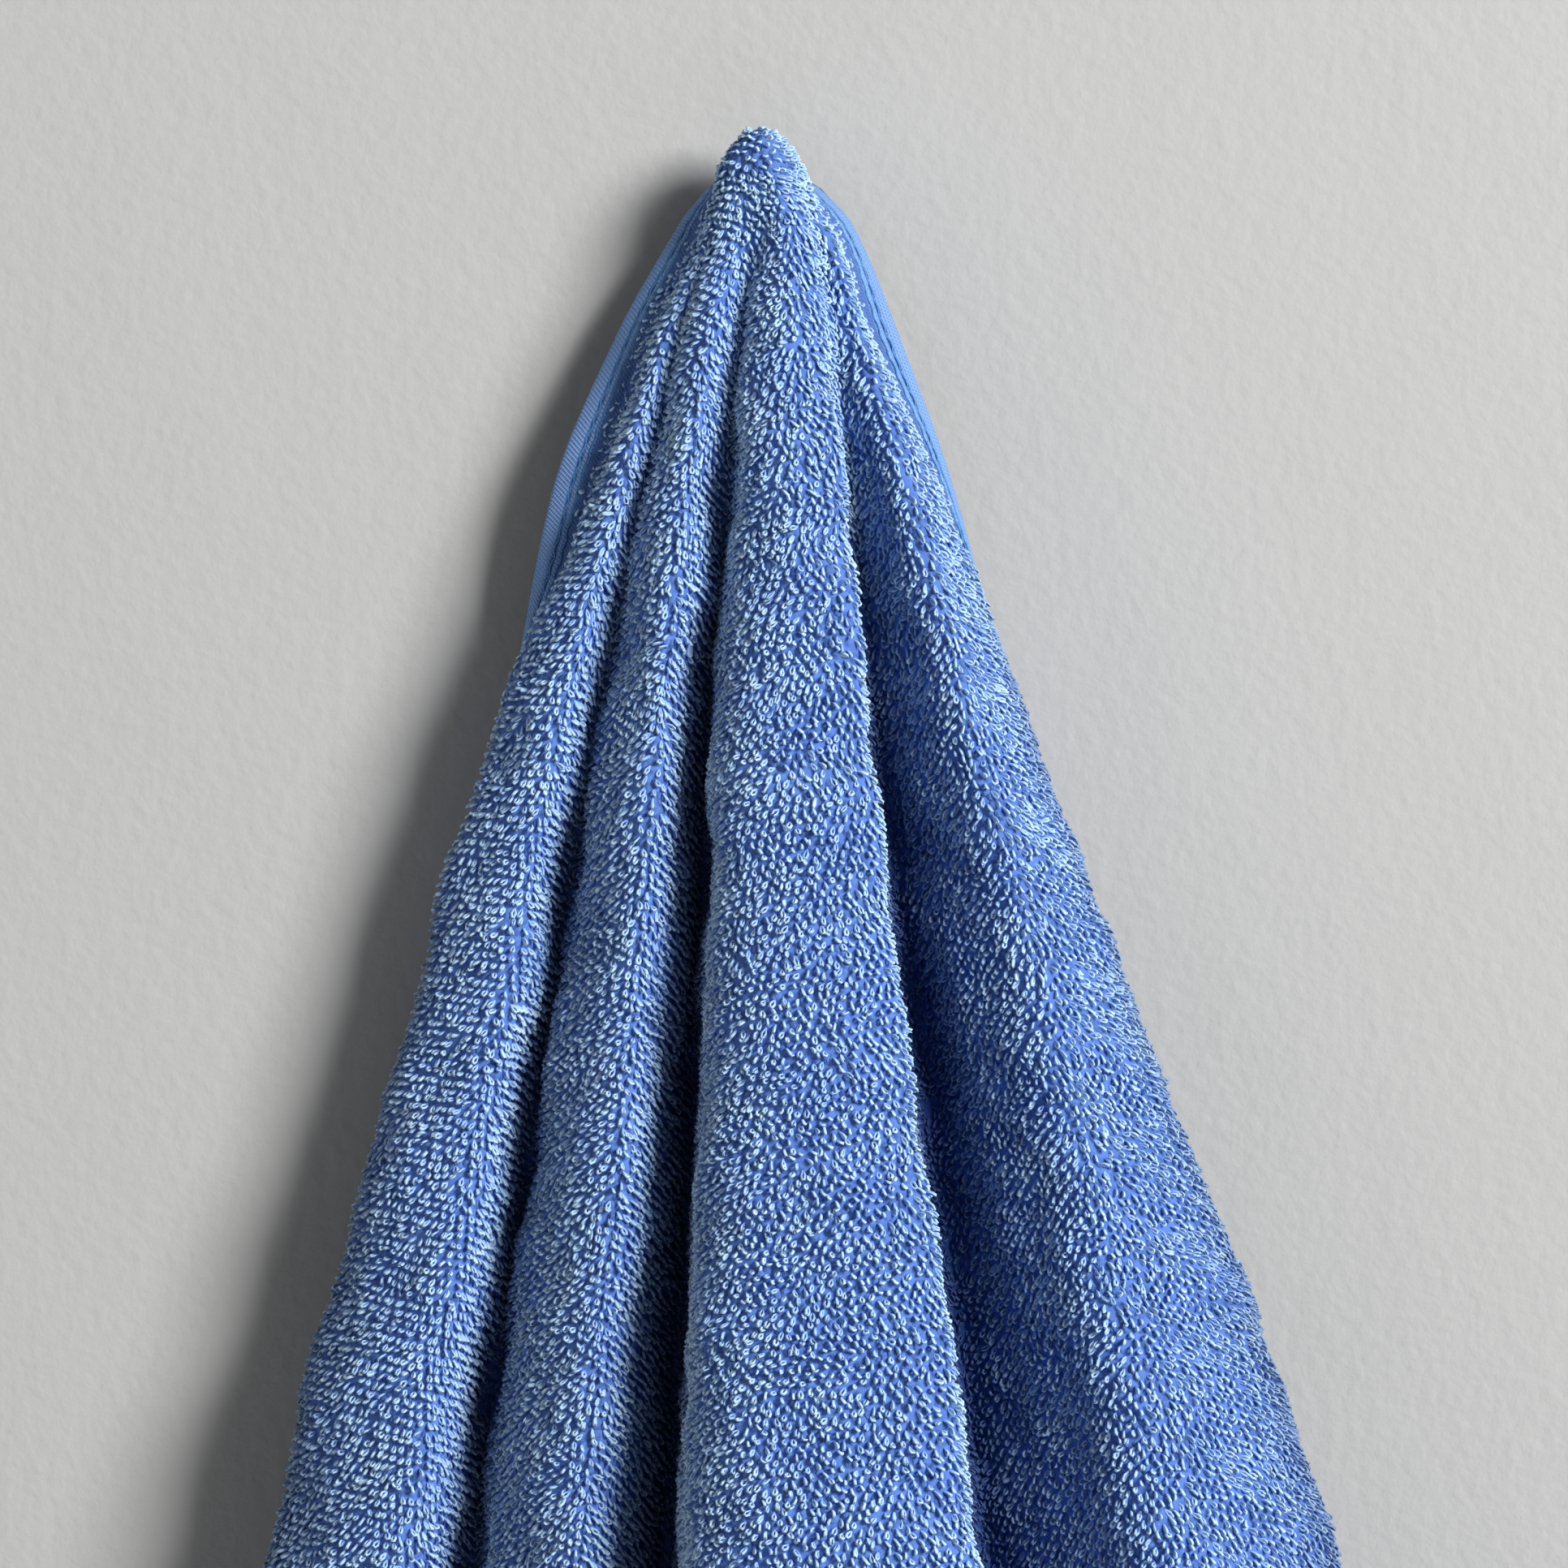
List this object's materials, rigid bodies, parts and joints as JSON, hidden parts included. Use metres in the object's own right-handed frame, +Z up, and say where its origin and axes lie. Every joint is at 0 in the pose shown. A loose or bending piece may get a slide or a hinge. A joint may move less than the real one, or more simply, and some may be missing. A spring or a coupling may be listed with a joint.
{
  "type": "hand towel and wall hook",
  "caption": "Terry hand towel hung by one corner in deep folds over a small round-rod wall hook on a plain plate.",
  "frame": {"origin": "middle of the wall plate's back face, on the wall", "axes": "+Z up, +X to the right seen from the front, +Y into the wall, so the towel hangs towards -Y"},
  "size_m": [0.2392, 0.118, 0.8225],
  "materials": {
    "terry": "cotton terry loops with flat woven hems",
    "hook_metal": "satin"
  },
  "bodies": {
    "root": {"towel": "terry", "hook_rod": "hook_metal", "wall_plate": "hook_metal"}
  },
  "joints": []
}
